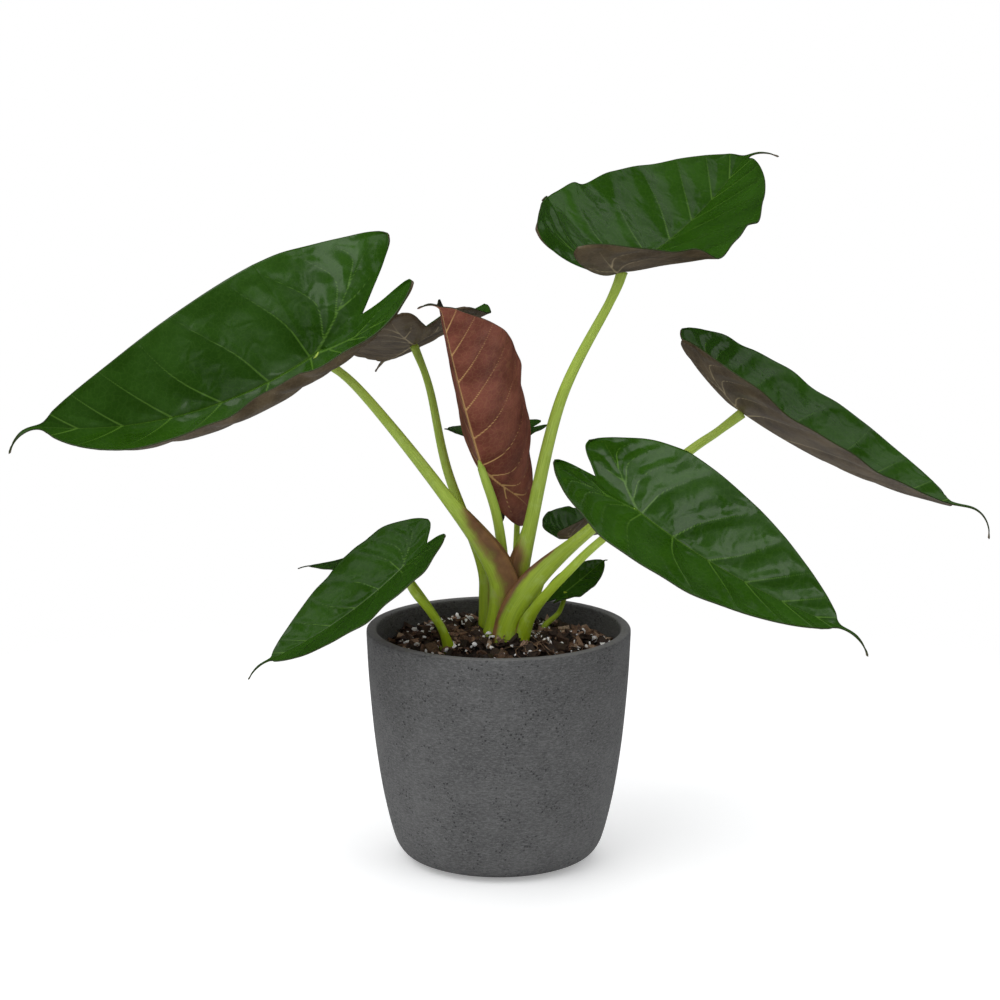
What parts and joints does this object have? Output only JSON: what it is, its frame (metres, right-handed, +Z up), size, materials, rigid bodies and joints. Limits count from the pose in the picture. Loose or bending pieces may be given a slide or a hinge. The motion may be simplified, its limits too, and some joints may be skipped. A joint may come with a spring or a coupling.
{
  "type": "potted alocasia plant",
  "caption": "Potted alocasia with glossy arrow-shaped leaves on long stalks, standing in a dark grey tapered round planter filled with bark and perlite mix.",
  "frame": {"origin": "centre of the pot's foot, on the surface it stands on", "axes": "+Z up along the pot's axis; +X towards the right-hand leaves and -Y towards the front of the plant"},
  "size_m": [0.6962, 0.4137, 0.4946],
  "materials": {
    "fired_clay": "matte, finely pitted",
    "soil_mix": "loose bark, fibre and perlite",
    "crown_tissue": "fleshy, satin",
    "stalk_green": "smooth, satin",
    "blade_green": "glossy above, satin below",
    "blade_purple": "satin"
  },
  "bodies": {
    "root": {"pot": "fired_clay", "potting_soil": "soil_mix", "crown": "crown_tissue", "offset_crown": "crown_tissue", "stalk_left": "stalk_green", "blade_left": "blade_green", "stalk_top_right": "stalk_green", "blade_top_right": "blade_green", "stalk_right": "stalk_green", "blade_right": "blade_green", "stalk_front_right": "stalk_green", "blade_front_right": "blade_green", "stalk_front_left": "stalk_green", "blade_front_left": "blade_green", "stalk_behind_front_left": "stalk_green", "blade_behind_front_left": "blade_green", "stalk_back_left": "stalk_green", "blade_back_left": "blade_green", "stalk_young_centre": "stalk_green", "blade_young_centre": "blade_purple", "stalk_small_back": "stalk_green", "blade_small_back": "blade_green", "stalk_small_back_right": "stalk_green", "blade_small_back_right": "blade_green", "stalk_small_right": "stalk_green", "blade_small_right": "blade_green"}
  },
  "joints": []
}
